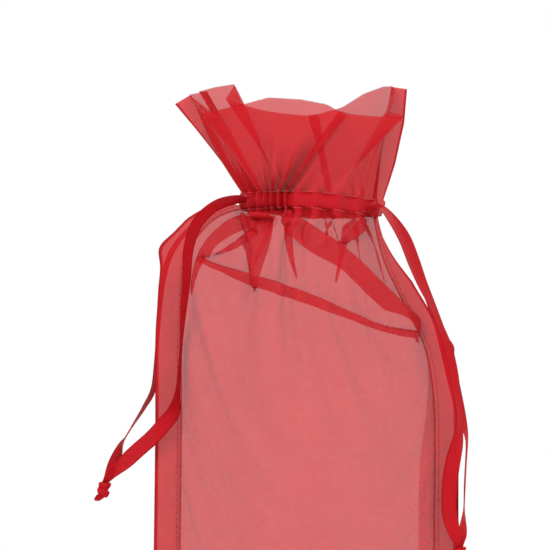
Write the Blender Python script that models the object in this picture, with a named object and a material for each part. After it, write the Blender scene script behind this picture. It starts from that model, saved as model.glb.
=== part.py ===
"""Organza wine gift bag with two drawstring ribbons, standing full-bellied and cinched at the neck.

Frame: metres, +Z up, the origin under the middle of the base. The front of the bag faces -Y and its two
side seams lie in the plane y = 0. The bag is 152 mm x 355 mm (6 in x 14 in) when it is pressed flat.
"""

import math

import bmesh
import bpy
import numpy as np
from mathutils import Matrix, Vector

# Driving dimensions, in metres.
BODY_HALF_WIDTH = 0.060  # middle of the bag to the free edge of a side seam
BODY_HALF_DEPTH = 0.0415  # the belly that an 82 mm bottle makes
CORNER_SPREAD = 0.012  # how far the bottom corners stick out past the sides
CORNER_HEIGHT = 0.045  # height over which those corners blend into the sides
NECK_HALF_WIDTH = 0.0265
NECK_HALF_DEPTH = 0.0190
NECK_BOTTOM = 0.2530  # lower edge of the drawstring channel
CHANNEL_HEIGHT = 0.0080
HEADER_TOP = 0.2990
SEAM_WIDTH = 0.0100  # French seam, from its stitching to its free edge
SEAM_WIDTH_AT_NECK = 0.0030
RIBBON_WIDTH = 0.0060
CLOTH = 0.0008  # thickness that stands for one wall of cloth
SEAM_THICKNESS = 0.0018
CHANNEL_DEPTH = 0.0036  # outer wall, two ribbons and inner wall
CHANNEL_WALL = 0.0006
RIBBON_THICKNESS = 0.0005
THREAD_RADIUS = 0.00035
GAP = 0.0003  # air between neighbouring pieces

# How each side falls from the neck: the height where it starts, and how full the shoulder is.
LEFT_SHOULDER = (0.190, 3.0)
RIGHT_SHOULDER = (0.172, 1.25)
DEPTH_SHOULDER = (0.195, 1.7)

# Reach of the header's rim beyond the neck, on each side.
RIM_LEFT = 0.0500
RIM_RIGHT = 0.0390
RIM_DEPTH = 0.0360

# Routes of the four free ribbon ends, neck to knot: x, y, z in metres, then how far the ribbon is turned
# from facing the front, in degrees.
LEFT_FRONT_STRAND = (
    (-0.0285, -0.0060, 0.2575, 60),
    (-0.0365, -0.0100, 0.2545, 50),
    (-0.0435, -0.0115, 0.2475, 40),
    (-0.0470, -0.0105, 0.2375, 40),
    (-0.0478, -0.0095, 0.2255, 45),
    (-0.0492, -0.0080, 0.2140, 45),
    (-0.0502, -0.0075, 0.2020, 45),
    (-0.0512, -0.0070, 0.1905, 40),
    (-0.0520, -0.0065, 0.1810, 30),
    (-0.0542, -0.0060, 0.1735, 10),
    (-0.0588, -0.0052, 0.1682, 0),
    (-0.0645, -0.0044, 0.1634, 0),
    (-0.0700, -0.0036, 0.1580, 0),
    (-0.0753, -0.0028, 0.1524, 5),
    (-0.0784, -0.0020, 0.1487, 10),
)
LEFT_BACK_STRAND = (
    (-0.0285, 0.0060, 0.2580, 80),
    (-0.0400, 0.0085, 0.2570, 85),
    (-0.0505, 0.0095, 0.2500, 80),
    (-0.0570, 0.0090, 0.2380, 75),
    (-0.0588, 0.0080, 0.2240, 70),
    (-0.0597, 0.0072, 0.2070, 70),
    (-0.0608, 0.0065, 0.1930, 70),
    (-0.0630, 0.0058, 0.1830, 75),
    (-0.0682, 0.0048, 0.1730, 80),
    (-0.0733, 0.0040, 0.1633, 75),
    (-0.0771, 0.0030, 0.1545, 60),
    (-0.0790, 0.0020, 0.1490, 30),
)
RIGHT_FRONT_STRAND = (
    (0.0285, -0.0060, 0.2540, 60),
    (0.0325, -0.0115, 0.2480, 60),
    (0.0365, -0.0135, 0.2400, 65),
    (0.0400, -0.0130, 0.2310, 65),
    (0.0440, -0.0115, 0.2225, 60),
    (0.0480, -0.0100, 0.2150, 60),
    (0.0515, -0.0085, 0.2070, 60),
    (0.0545, -0.0075, 0.1985, 55),
    (0.0567, -0.0068, 0.1885, 55),
    (0.0582, -0.0062, 0.1780, 60),
    (0.0588, -0.0060, 0.1700, 60),
    (0.0580, -0.0060, 0.1625, 35),
    (0.0562, -0.0060, 0.1540, 10),
    (0.0550, -0.0060, 0.1450, 0),
    (0.0548, -0.0060, 0.1360, 0),
    (0.0562, -0.0066, 0.1285, 5),
    (0.0576, -0.0062, 0.1240, 0),
)
RIGHT_BACK_STRAND = (
    (0.0285, 0.0060, 0.2555, 30),
    (0.0345, 0.0090, 0.2520, 20),
    (0.0400, 0.0100, 0.2455, 15),
    (0.0440, 0.0100, 0.2365, 10),
    (0.0475, 0.0095, 0.2270, 10),
    (0.0512, 0.0085, 0.2180, 10),
    (0.0548, 0.0078, 0.2080, 10),
    (0.0578, 0.0070, 0.1975, 10),
    (0.0602, 0.0062, 0.1860, 15),
    (0.0620, 0.0054, 0.1760, 25),
    (0.0634, 0.0048, 0.1690, 45),
    (0.0644, 0.0042, 0.1610, 80),
    (0.0644, 0.0032, 0.1520, 85),
    (0.0640, 0.0012, 0.1430, 85),
    (0.0634, -0.0012, 0.1350, 85),
    (0.0622, -0.0030, 0.1285, 40),
    (0.0604, -0.0036, 0.1240, 5),
)
LEFT_KNOT = ((-0.0800, 0.0, 0.1440), 12)  # middle, and how far it leans, in degrees
RIGHT_KNOT = ((0.0590, -0.0042, 0.1186), 0)
KNOT_RADIUS = 0.0027
KNOT_LENGTH = 0.0078

ORGANZA = ("organza_red", (0.57, 0.016, 0.026), 0.45)
RIBBON = ("ribbon_red", (0.46, 0.008, 0.016), 0.30)
THREAD = ("thread_red", (0.34, 0.006, 0.012), 0.60)


def clear_scene():
    for old in list(bpy.data.objects):
        bpy.data.objects.remove(old)


def material(finish):
    """The Principled material of a finish, made once."""
    name, colour, roughness = finish
    made = bpy.data.materials.get(name)
    if made is None:
        made = bpy.data.materials.new(name)
        made.use_nodes = True
        shader = made.node_tree.nodes["Principled BSDF"]
        shader.inputs["Base Color"].default_value = (*colour, 1.0)
        shader.inputs["Roughness"].default_value = roughness
        shader.inputs["Metallic"].default_value = 0.0
    return made


def add_object(name, data, finish):
    made = bpy.data.objects.new(name, data)
    bpy.context.scene.collection.objects.link(made)
    data.materials.append(material(finish))
    return made


def grid_object(name, points, finish, thickness, smooth=True):
    """A sheet through a grid of points, thickened behind its face by a Solidify modifier."""
    rows, columns, _ = points.shape
    corner = np.arange(rows * columns).reshape(rows, columns)
    quads = np.stack([corner[:-1, :-1], corner[:-1, 1:], corner[1:, 1:], corner[1:, :-1]], axis=-1)
    mesh = bpy.data.meshes.new(name)
    mesh.from_pydata(points.reshape(-1, 3).tolist(), [], quads.reshape(-1, 4).tolist())
    made = add_object(name, mesh, finish)
    solidify = made.modifiers.new("wall", "SOLIDIFY")
    solidify.thickness = thickness
    solidify.offset = -1.0
    if smooth:
        mesh.shade_smooth()
    return made


def fullness(z, shoulder):
    """1 below the shoulder, falling to 0 at the neck along a superellipse."""
    start, power = shoulder
    t = np.clip((z - start) / (NECK_BOTTOM - start), 0.0, 1.0)
    return (1.0 - t**power) ** (1.0 / power)


def corner_flare(z):
    t = np.clip(1.0 - z / CORNER_HEIGHT, 0.0, 1.0)
    return CORNER_SPREAD * t**2


def seam_edge(z, side):
    """Distance from the middle to a side seam's free edge at height z. side is -1 for left, 1 for right."""
    share = fullness(z, LEFT_SHOULDER if side < 0 else RIGHT_SHOULDER)
    return NECK_HALF_WIDTH + (BODY_HALF_WIDTH - NECK_HALF_WIDTH) * share + corner_flare(z)


def seam_line(z, side):
    """Distance from the middle to a side seam's stitching at height z."""
    share = fullness(z, LEFT_SHOULDER if side < 0 else RIGHT_SHOULDER)
    return seam_edge(z, side) - (SEAM_WIDTH_AT_NECK + (SEAM_WIDTH - SEAM_WIDTH_AT_NECK) * share)


def belly(z):
    return NECK_HALF_DEPTH + (BODY_HALF_DEPTH - NECK_HALF_DEPTH) * fullness(z, DEPTH_SHOULDER)


def taut_section(half_width, half_depth, tau):
    """Cloth drawn over a round belly: x and y at tau from -1 to 1 between two seams half_width away.

    Where the seam stands outside the belly's circle the cloth runs straight from the seam to the circle
    and then follows it. Where it doesn't, the cloth is a half ellipse.
    """
    half_width, half_depth, tau = np.broadcast_arrays(half_width, half_depth, tau)
    outside = np.maximum(half_width, half_depth * 1.0001)
    touch = np.arccos(half_depth / outside)
    straight = np.sqrt(outside**2 - half_depth**2)
    along = (1.0 - np.abs(tau)) * (straight + half_depth * (math.pi / 2 - touch))
    share = np.clip(along / straight, 0.0, 1.0)
    angle = touch + np.maximum(along - straight, 0.0) / half_depth
    on_line = along < straight
    line_x = outside + share * (half_depth * np.cos(touch) - outside)
    line_y = share * half_depth * np.sin(touch)
    taut_x = np.where(on_line, line_x, half_depth * np.cos(angle))
    taut_y = np.where(on_line, line_y, half_depth * np.sin(angle))
    turn = (1.0 - np.abs(tau)) * math.pi / 2
    is_taut = half_width > half_depth * 1.0001
    x = np.where(is_taut, taut_x, half_width * np.cos(turn))
    y = np.where(is_taut, taut_y, half_depth * np.sin(turn))
    return np.sign(tau) * x, y


def seam_panel(name, facing):
    """The front (facing -1) or back (facing 1) panel: a wall from the base up to the channel."""
    across = np.linspace(-1.0, 1.0, 21)
    up = np.concatenate([[0.0016, 0.015, 0.03, 0.045, 0.11], np.linspace(0.175, NECK_BOTTOM - GAP, 10)])
    tau, z = np.meshgrid(across, up)
    width = np.where(tau < 0, seam_line(z, -1), seam_line(z, 1)) - GAP
    x, bulge = taut_section(width, belly(z) - 0.0025, tau)
    y = facing * (SEAM_THICKNESS / 2 + GAP + CLOTH + bulge)
    points = np.stack([x, y, z], axis=-1)
    return grid_object(name, points if facing < 0 else points[:, ::-1], ORGANZA, CLOTH)


def side_seam(name, side):
    """The flat French seam on one side, from its stitching out to its free edge."""
    z = np.concatenate([[0.0015, 0.012, 0.024, 0.036, 0.048, 0.11], np.linspace(0.172, NECK_BOTTOM - GAP, 12)])
    inner = seam_line(z, side)
    outer = seam_edge(z, side)
    share = np.linspace(0.0, 1.0, 2)[None, :]
    x = side * (inner[:, None] * (1 - share) + outer[:, None] * share)
    points = np.stack([x, np.full_like(x, -SEAM_THICKNESS / 2), np.repeat(z[:, None], 2, 1)], axis=-1)
    return grid_object(name, points if side > 0 else points[:, ::-1], ORGANZA, SEAM_THICKNESS, smooth=False)


def bottom_panel():
    """The cloth folded under: a flat lens that the bag stands on, out to the two bottom corners."""
    x, y = taut_section(BODY_HALF_WIDTH + CORNER_SPREAD, BODY_HALF_DEPTH, np.linspace(-1.0, 1.0, 41))
    y = np.maximum(y, SEAM_THICKNESS / 2)
    outline = [(px, -py, 0.0) for px, py in zip(x, y)] + [(px, py, 0.0) for px, py in zip(x[::-1], y[::-1])]
    mesh = bpy.data.meshes.new("bottom_panel")
    mesh.from_pydata(outline, [], [list(range(len(outline)))[::-1]])
    made = add_object("bottom_panel", mesh, ORGANZA)
    solidify = made.modifiers.new("wall", "SOLIDIFY")
    solidify.thickness = 0.0012
    solidify.offset = -1.0
    return made


def neck_arc(inset, facing, count=25, overshoot=1.0):
    """Points round half of the neck, left to right, set in from the channel's outer face by inset."""
    tau = np.linspace(-overshoot, overshoot, count)
    x = (NECK_HALF_WIDTH - inset) * tau
    y = facing * (GAP + (NECK_HALF_DEPTH - inset) * np.cos(tau * math.pi / 2))
    return x, y


def neck_band(name, inset, depth, low, high, facing, finish, overshoot=1.0):
    """A band round half of the neck, from height low to high, between insets inset and inset + depth."""
    bm = bmesh.new()
    outer = np.stack(neck_arc(inset, facing, overshoot=overshoot), axis=-1)
    inner = np.stack(neck_arc(inset + depth, facing, overshoot=overshoot), axis=-1)
    rings = []
    for (ox, oy), (ix, iy) in zip(outer, inner):
        corners = ((ox, oy, low), (ox, oy, high), (ix, iy, high), (ix, iy, low))
        rings.append([bm.verts.new(corner) for corner in corners])
    for here, there in zip(rings, rings[1:]):
        for i in range(4):
            bm.faces.new((here[i], here[(i + 1) % 4], there[(i + 1) % 4], there[i]))
    bm.faces.new(rings[0])
    bm.faces.new(rings[-1])
    bmesh.ops.recalc_face_normals(bm, faces=bm.faces)
    mesh = bpy.data.meshes.new(name)
    bm.to_mesh(mesh)
    bm.free()
    return add_object(name, mesh, finish)


def channel(name, facing):
    """The drawstring channel round half of the neck: a flat sleeve, open at both side seams."""
    top = NECK_BOTTOM + CHANNEL_HEIGHT
    sleeve = neck_band(name, 0.0, CHANNEL_DEPTH, NECK_BOTTOM, top, facing, ORGANZA)
    inside = CHANNEL_DEPTH - 2 * CHANNEL_WALL
    low = NECK_BOTTOM + CHANNEL_WALL
    high = top - CHANNEL_WALL
    cutter = neck_band(name + "_cutter", CHANNEL_WALL, inside, low, high, facing, ORGANZA, overshoot=1.08)
    cutter.hide_render = True
    cutter.display_type = "WIRE"
    hollow = sleeve.modifiers.new("hollow", "BOOLEAN")
    hollow.operation = "DIFFERENCE"
    hollow.object = cutter
    return sleeve


def ribbon_run(name, facing, place):
    """One ribbon inside half of the channel. place is 0 for the outer of the two ribbons, 1 for the inner."""
    inset = CHANNEL_WALL + 0.0005 + place * (RIBBON_THICKNESS + 0.0004)
    low = NECK_BOTTOM + (CHANNEL_HEIGHT - RIBBON_WIDTH) / 2
    return neck_band(name, inset, RIBBON_THICKNESS, low, low + RIBBON_WIDTH, facing, RIBBON)


def header(name, facing):
    """The doubled cloth above the channel, flaring out to the rim."""
    across = np.linspace(-1.0, 1.0, 25)
    up = np.linspace(0.0, 1.0, 7)
    tau, t = np.meshgrid(across, up)
    flare = t**0.9
    rim = np.where(tau < 0, RIM_LEFT, RIM_RIGHT)
    x = tau * (NECK_HALF_WIDTH + (rim - NECK_HALF_WIDTH) * flare)
    depth = NECK_HALF_DEPTH + (RIM_DEPTH - NECK_HALF_DEPTH) * flare
    y = facing * (GAP + 0.0016 + depth * np.cos(tau * math.pi / 2) ** 0.9)
    low = NECK_BOTTOM + CHANNEL_HEIGHT + GAP
    z = low + (HEADER_TOP - low) * t
    points = np.stack([x, y, z], axis=-1)
    return grid_object(name, points if facing < 0 else points[:, ::-1], ORGANZA, 2 * CLOTH)


def thread(name, points):
    """A row of stitching, as one fine thread along points."""
    curve = bpy.data.curves.new(name, "CURVE")
    curve.dimensions = "3D"
    curve.bevel_depth = THREAD_RADIUS
    curve.bevel_resolution = 1
    curve.use_fill_caps = True
    spline = curve.splines.new("POLY")
    spline.points.add(len(points) - 1)
    for made, place in zip(spline.points, points):
        made.co = (*place, 1.0)
    return add_object(name, curve, THREAD)


def channel_stitching(name, height, facing):
    x, y = neck_arc(-THREAD_RADIUS - GAP, facing, count=25, overshoot=0.96)
    return thread(name, [(px, py, height) for px, py in zip(x, y)])


def seam_stitching(name, side):
    """The row of stitches up a side seam, on its front face."""
    heights = np.concatenate([np.linspace(0.004, 0.172, 9), np.linspace(0.180, NECK_BOTTOM - 0.003, 11)])
    inset = THREAD_RADIUS + 0.0008
    y = -(SEAM_THICKNESS / 2 + GAP + THREAD_RADIUS)
    return thread(name, [(side * (seam_line(z, side) + inset), y, z) for z in heights])


def smooth_route(route, count):
    """Points along a Catmull-Rom curve through the route, which holds x, y, z and turn."""
    knots = np.array(route, float)
    knots = np.vstack([2 * knots[0] - knots[1], knots, 2 * knots[-1] - knots[-2]])
    along = np.linspace(0, len(route) - 1 - 1e-9, count)
    i = along.astype(int)
    t = (along - i)[:, None]
    a, b, c, d = (knots[i + k] for k in range(4))
    return 0.5 * (2 * b + (c - a) * t + (2 * a - 5 * b + 4 * c - d) * t**2 + (3 * b - a - 3 * c + d) * t**3)


def strand(name, route):
    """One free ribbon end: a flat strip along its route, each cross-section turned by the route's angle."""
    path = smooth_route(route, 44)
    places, turns = path[:, :3], np.radians(path[:, 3])
    ahead = np.gradient(places, axis=0)
    ahead /= np.linalg.norm(ahead, axis=1)[:, None]
    to_back = np.array([0.0, 1.0, 0.0])
    flat = np.cross(ahead, to_back)
    flat /= np.linalg.norm(flat, axis=1)[:, None]
    deep = np.cross(flat, ahead)
    across = flat * np.cos(turns)[:, None] + deep * np.sin(turns)[:, None]
    share = np.array([-0.5, 0.0, 0.5])[None, :, None] * RIBBON_WIDTH
    points = places[:, None, :] + share * across[:, None, :]
    return grid_object(name, points, RIBBON, RIBBON_THICKNESS)


def knot(name, where):
    """The overhand knot that ties a pair of strands, with the short cut ends fanned out below it."""
    (x, y, z), lean = where
    turned = Matrix.Translation((x, y, z)) @ Matrix.Rotation(math.radians(lean), 4, "Y")
    bm = bmesh.new()
    bmesh.ops.create_uvsphere(bm, u_segments=12, v_segments=9, radius=1.0)
    for vert in bm.verts:
        # A waist in the middle makes the two turns of the knot.
        waist = 1.0 - 0.18 * math.exp(-((vert.co.z / 0.25) ** 2))
        vert.co.x *= KNOT_RADIUS * waist
        vert.co.y *= KNOT_RADIUS * 0.9 * waist
        vert.co.z *= KNOT_LENGTH / 2
    mesh = bpy.data.meshes.new(name)
    bm.to_mesh(mesh)
    bm.free()
    made = add_object(name, mesh, RIBBON)
    made.matrix_world = turned
    mesh.shade_smooth()

    bm = bmesh.new()
    bmesh.ops.create_cone(bm, segments=10, radius1=0.0026, radius2=0.0012, depth=0.0050, cap_ends=True)
    for vert in bm.verts:
        vert.co.y *= 0.45
    tuft_mesh = bpy.data.meshes.new(name + "_ends")
    bm.to_mesh(tuft_mesh)
    bm.free()
    tuft = add_object(name + "_ends", tuft_mesh, RIBBON)
    tuft.matrix_world = turned @ Matrix.Translation((0.0, 0.0, -KNOT_LENGTH / 2 - 0.0008))
    tuft.hide_render = True
    tuft.display_type = "WIRE"
    join = made.modifiers.new("cut_ends", "BOOLEAN")
    join.operation = "UNION"
    join.object = tuft
    return made


def main():
    clear_scene()
    bottom_panel()
    seam_panel("front_panel", -1)
    seam_panel("back_panel", 1)
    for side, word in ((-1, "left"), (1, "right")):
        side_seam(f"{word}_side_seam", side)
        seam_stitching(f"{word}_seam_stitching", side)
    for facing, word in ((-1, "front"), (1, "back")):
        header(f"{word}_header", facing)
        channel(f"{word}_channel", facing)
        channel_stitching(f"{word}_channel_lower_stitching", NECK_BOTTOM + THREAD_RADIUS, facing)
        channel_stitching(
            f"{word}_channel_upper_stitching", NECK_BOTTOM + CHANNEL_HEIGHT - THREAD_RADIUS, facing
        )
        ribbon_run(f"left_ribbon_{word}_run", facing, 0)
        ribbon_run(f"right_ribbon_{word}_run", facing, 1)
    strand("left_ribbon_front_strand", LEFT_FRONT_STRAND)
    strand("left_ribbon_back_strand", LEFT_BACK_STRAND)
    strand("right_ribbon_front_strand", RIGHT_FRONT_STRAND)
    strand("right_ribbon_back_strand", RIGHT_BACK_STRAND)
    knot("left_knot", LEFT_KNOT)
    knot("right_knot", RIGHT_KNOT)


main()
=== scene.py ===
"""Looks of a sheer organza wine gift bag: cloth, seams, drawstrings and stitching, with its floor and light."""

from __future__ import annotations

import logging
import math
from collections.abc import Sequence
from dataclasses import dataclass, field
from enum import Enum

import bpy
import numpy as np
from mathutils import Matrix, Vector


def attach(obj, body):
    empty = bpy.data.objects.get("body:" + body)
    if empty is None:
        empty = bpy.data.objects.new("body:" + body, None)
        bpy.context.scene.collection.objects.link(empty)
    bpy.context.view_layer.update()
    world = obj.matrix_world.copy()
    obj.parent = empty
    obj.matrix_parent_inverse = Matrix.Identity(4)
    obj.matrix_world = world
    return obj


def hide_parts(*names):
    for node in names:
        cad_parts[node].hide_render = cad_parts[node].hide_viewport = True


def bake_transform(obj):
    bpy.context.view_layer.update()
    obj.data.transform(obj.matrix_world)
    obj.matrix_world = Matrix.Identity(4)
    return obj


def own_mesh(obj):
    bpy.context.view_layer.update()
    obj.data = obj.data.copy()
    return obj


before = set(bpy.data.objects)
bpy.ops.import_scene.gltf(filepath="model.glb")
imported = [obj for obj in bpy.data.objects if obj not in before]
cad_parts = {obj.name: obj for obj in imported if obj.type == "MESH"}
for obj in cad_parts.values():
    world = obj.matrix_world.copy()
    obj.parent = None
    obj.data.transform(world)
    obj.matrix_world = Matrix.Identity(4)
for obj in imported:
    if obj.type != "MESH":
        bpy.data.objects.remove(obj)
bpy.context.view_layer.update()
LOG = logging.getLogger("gift_bag")

MM = 0.001
NECK_HEIGHT = 0.2568
RIBBON_WIDTH = 6.0 * MM
RIBBON_THICKNESS = 0.34 * MM
THREAD_RADIUS = 0.17 * MM
STITCH_PITCH = 2.6 * MM

# A wine bottle's radius by height: the shape that fills the bag.
BOTTLE_HEIGHTS = np.array([0, 128, 150, 168, 190, 207, 225, 238, 300]) * MM
BOTTLE_RADII = np.array([41, 41, 38.5, 33, 26, 20, 15.6, 14.2, 14.2]) * MM


class Facing(Enum):
    """The two halves of the bag, and the sign of y on each."""

    FRONT = -1
    BACK = 1

    @property
    def word(self) -> str:
        """The half's name as nodes and bodies spell it."""
        return self.name.lower()


class Side(Enum):
    """The two side seams, and the sign of x at each."""

    LEFT = -1
    RIGHT = 1

    @property
    def word(self) -> str:
        """The side's name as nodes and bodies spell it."""
        return self.name.lower()


# ---------------------------------------------------------------------------------------------------------
# Meshes


def smoothstep(t: np.ndarray) -> np.ndarray:
    """3t^2 - 2t^3, with t held between 0 and 1."""
    t = np.clip(t, 0.0, 1.0)
    return t * t * (3.0 - 2.0 * t)


def unit(v: np.ndarray) -> np.ndarray:
    """Vectors along the last axis, each divided by its length."""
    return v / np.maximum(np.linalg.norm(v, axis=-1, keepdims=True), 1e-12)


def mesh_piece(
    name: str, points: np.ndarray, faces: np.ndarray, uv: np.ndarray, material: bpy.types.Material
) -> bpy.types.Object:
    """A mesh object at the origin.

    Args:
        name: The piece's name.
        points: Vertex places, (n, 3), in metres.
        faces: Quads, (m, 4), as vertex numbers.
        uv: One coordinate for each vertex, (n, 2), in metres along the cloth.
        material: What it is made of.

    Returns:
        The linked object, shaded smooth.
    """
    mesh = bpy.data.meshes.new(name)
    mesh.from_pydata(points.reshape(-1, 3).tolist(), [], faces.reshape(-1, 4).tolist())
    layer = mesh.uv_layers.new(name="cloth")
    corners = np.empty(len(mesh.loops), dtype=np.int32)
    mesh.loops.foreach_get("vertex_index", corners)
    layer.data.foreach_set("uv", uv.reshape(-1, 2)[corners].astype(np.float32).ravel())
    mesh.materials.append(material)
    mesh.shade_smooth()
    mesh.update()
    made = bpy.data.objects.new(name, mesh)
    bpy.context.scene.collection.objects.link(made)
    return made


def grid_faces(rows: int, columns: int, closed_rows: bool = False, closed_columns: bool = False) -> np.ndarray:
    """Quads over a grid of rows x columns points, wrapped round where a direction is closed.

    Args:
        rows: Points up the grid.
        columns: Points along each row.
        closed_rows: Whether the last row joins the first.
        closed_columns: Whether each row's end joins its start.

    Returns:
        Quads as point numbers, (n, 4).
    """
    index = np.arange(rows * columns).reshape(rows, columns)
    if closed_rows:
        index = np.vstack([index, index[:1]])
    if closed_columns:
        index = np.hstack([index, index[:, :1]])
    return np.stack([index[:-1, :-1], index[:-1, 1:], index[1:, 1:], index[1:, :-1]], axis=-1).reshape(-1, 4)


def smooth_curve(route: np.ndarray, count: int) -> np.ndarray:
    """Points along a Catmull-Rom curve through the rows of route, evenly spaced by row number.

    Args:
        route: Places to go through, (n, k).
        count: How many points to give.

    Returns:
        Points, (count, k).
    """
    knots = np.vstack([2 * route[0] - route[1], route, 2 * route[-1] - route[-2]])
    along = np.linspace(0, len(route) - 1 - 1e-9, count)
    i = along.astype(int)
    t = (along - i)[:, None]
    a, b, c, d = (knots[i + k] for k in range(4))
    return 0.5 * (2 * b + (c - a) * t + (2 * a - 5 * b + 4 * c - d) * t**2 + (3 * b - a - 3 * c + d) * t**3)


def run_along(path: np.ndarray) -> np.ndarray:
    """How far along a path each of its points is, from 0 at the first."""
    return np.concatenate([[0.0], np.cumsum(np.linalg.norm(np.diff(path, axis=0), axis=1))])


def along_route(route: np.ndarray, where: np.ndarray) -> np.ndarray:
    """Places on a smooth curve through route, at shares of its length from 0 to 1.

    Args:
        route: Places to go through, (n, 3).
        where: Shares of the length.

    Returns:
        One place for each share.
    """
    fine = smooth_curve(route, 60 * len(route))
    run = run_along(fine[:, :3])
    return np.stack([np.interp(where * run[-1], run, fine[:, k]) for k in range(fine.shape[1])], axis=-1)


def tube(path: np.ndarray, radius: float | np.ndarray, sides: int = 6) -> tuple[np.ndarray, np.ndarray, np.ndarray]:
    """A round tube along a path, with its ends drawn in to a point.

    Each ring is the path's point plus radius times (cos, sin) along two directions square to the path.

    Args:
        path: Ring centres, (n, 3).
        radius: One number, or one for each ring.
        sides: Points in a ring.

    Returns:
        Points, quads and uv.
    """
    ahead = unit(np.gradient(path, axis=0))
    up = np.where(np.abs(ahead[:, 2:]) < 0.9, np.array([[0.0, 0.0, 1.0]]), np.array([[0.0, 1.0, 0.0]]))
    side = unit(np.cross(ahead, up))
    top = np.cross(side, ahead)
    angle = np.linspace(0, 2 * math.pi, sides, endpoint=False)
    size = np.broadcast_to(np.asarray(radius, float), (len(path),)).copy()
    size[0] = size[-1] = 1e-6
    rings = (
        path[:, None]
        + size[:, None, None] * np.cos(angle)[None, :, None] * side[:, None]
        + size[:, None, None] * np.sin(angle)[None, :, None] * top[:, None]
    )
    run = run_along(path)
    uv = np.stack(np.broadcast_arrays(angle[None, :] * MM, run[:, None]), axis=-1)
    return rings, grid_faces(len(path), sides, closed_columns=True)[:, ::-1], uv


# ---------------------------------------------------------------------------------------------------------
# Materials


class NodeBench:
    """A node tree with short ways to add nodes and to join them."""

    def __init__(self, tree: bpy.types.NodeTree) -> None:
        """Work in the given tree."""
        self.tree = tree

    def add(self, kind: str, **settings: object) -> bpy.types.Node:
        """A new node of a kind, with its plain settings given by name.

        Args:
            kind: The node's type.
            settings: Its settings, by name.

        Returns:
            The node.
        """
        node = self.tree.nodes.new(kind)
        for key, value in settings.items():
            setattr(node, key, value)
        return node

    def join(self, source: bpy.types.NodeSocket, target: bpy.types.NodeSocket) -> None:
        """Link one socket to another."""
        self.tree.links.new(source, target)

    def feed(self, socket: bpy.types.NodeSocket, value: object) -> None:
        """Give a socket a link, if value is a socket, or else a plain value.

        Args:
            socket: An input.
            value: What it gets.
        """
        if isinstance(value, bpy.types.NodeSocket):
            self.join(value, socket)
        else:
            socket.default_value = value

    def sum(self, operation: str, *values: object, clamp: bool = False) -> bpy.types.NodeSocket:
        """The output of a Math node on the given numbers or sockets.

        Args:
            operation: What to work out.
            values: Numbers or sockets.
            clamp: Whether to hold it between 0 and 1.

        Returns:
            The result.
        """
        node = self.add("ShaderNodeMath", operation=operation, use_clamp=clamp)
        for socket, value in zip(node.inputs, values):
            self.feed(socket, value)
        return node.outputs[0]

    def blend_colour(self, share: object, first: object, second: object, mode: str = "MIX") -> bpy.types.NodeSocket:
        """The colour output of a Mix node.

        Args:
            share: How much of the second.
            first: A colour.
            second: Another.
            mode: How they mix.

        Returns:
            The mixed colour.
        """
        node = self.add("ShaderNodeMix", data_type="RGBA", blend_type=mode)
        self.feed(node.inputs[0], share)
        self.feed(node.inputs[6], first)
        self.feed(node.inputs[7], second)
        return node.outputs[2]

    def group(self, tree: bpy.types.NodeTree, cloth: bpy.types.NodeSocket, **values: float) -> bpy.types.Node:
        """A node group on the cloth coordinate, with its other inputs given by name.

        Args:
            tree: The group.
            cloth: The cloth coordinate.
            values: Plain values.

        Returns:
            The node.
        """
        node = self.add("ShaderNodeGroup", node_tree=tree)
        self.join(cloth, node.inputs["Cloth"])
        set_inputs(node, values)
        return node

    def split(self, vector: bpy.types.NodeSocket) -> Sequence[bpy.types.NodeSocket]:
        """The x, y and z of a vector.

        Args:
            vector: What to split.

        Returns:
            Three outputs.
        """
        node = self.add("ShaderNodeSeparateXYZ")
        self.join(vector, node.inputs[0])
        return node.outputs

    def bump(self, height: bpy.types.NodeSocket, strength: float, distance: float) -> bpy.types.NodeSocket:
        """The normal output of a Bump node.

        Args:
            height: The height.
            strength: How much it counts.
            distance: Its depth in metres.

        Returns:
            The normal.
        """
        node = self.add("ShaderNodeBump")
        set_inputs(node, {"Strength": strength, "Distance": distance})
        self.join(height, node.inputs["Height"])
        return node.outputs[0]


def set_inputs(node: bpy.types.Node, values: dict[str, object]) -> None:
    """Give a node's inputs plain values, by name."""
    for label, value in values.items():
        node.inputs[label].default_value = value


def new_material(name: str) -> tuple[bpy.types.Material, NodeBench, bpy.types.Node, bpy.types.NodeSocket]:
    """A material, its bench, its Principled shader, and the cloth coordinate in metres.

    Args:
        name: The material's name.

    Returns:
        The four of them, in that order.
    """
    material = bpy.data.materials.new(name)
    material.use_nodes = True
    bench = NodeBench(material.node_tree)
    cloth = bench.add("ShaderNodeUVMap", uv_map="cloth")
    return material, bench, material.node_tree.nodes["Principled BSDF"], cloth.outputs[0]


def new_group(
    name: str, inputs: Sequence[tuple[str, str, float | None]], outputs: Sequence[tuple[str, str]]
) -> tuple[bpy.types.NodeTree, NodeBench, bpy.types.Node, bpy.types.Node]:
    """A shader node group with named sockets.

    Args:
        name: The group's name.
        inputs: Name, socket type and starting value of each input.
        outputs: Name and socket type of each output.

    Returns:
        The tree, its bench, its input node and its output node.
    """
    tree = bpy.data.node_groups.new(name, "ShaderNodeTree")
    for label, kind, value in inputs:
        socket = tree.interface.new_socket(name=label, in_out="INPUT", socket_type=kind)
        if value is not None:
            socket.default_value = value
    for label, kind in outputs:
        tree.interface.new_socket(name=label, in_out="OUTPUT", socket_type=kind)
    bench = NodeBench(tree)
    return tree, bench, bench.add("NodeGroupInput"), bench.add("NodeGroupOutput")


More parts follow.
